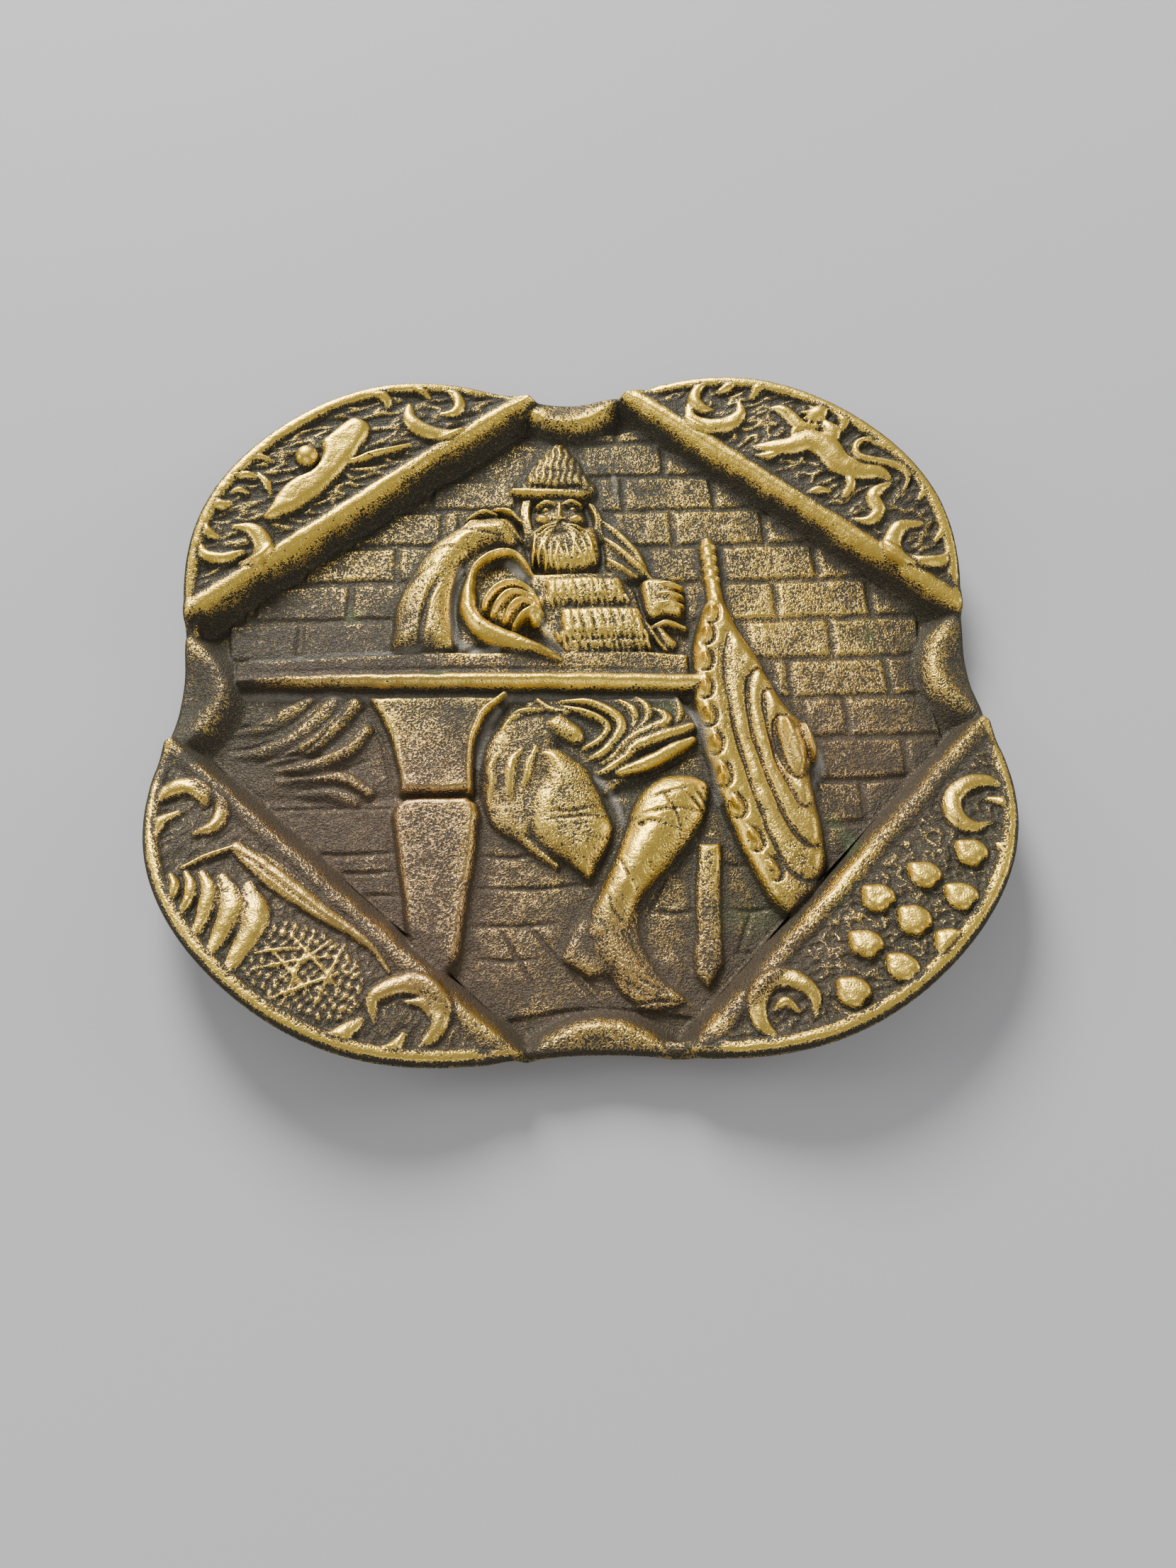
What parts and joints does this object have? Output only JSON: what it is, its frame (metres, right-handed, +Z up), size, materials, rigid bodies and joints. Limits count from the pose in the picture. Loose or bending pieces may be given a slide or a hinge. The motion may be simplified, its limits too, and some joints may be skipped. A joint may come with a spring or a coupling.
{
  "type": "relief wall plaque",
  "caption": "Cast brass wall plaque with a dished four-lobed rim and an octagonal well holding a low relief of an old bearded warrior at a table",
  "frame": {"origin": "centre of the flat back, on the wall plane y = 0", "axes": "+Z up the wall, -Y out of the wall towards the viewer, +X to the viewer's right"},
  "size_m": [0.2186, 0.0202, 0.214],
  "materials": {
    "brass": "sand-cast, polished on the raised forms, with a dark brown patina in the recesses"
  },
  "bodies": {
    "root": {"plaque": "brass"}
  },
  "joints": []
}
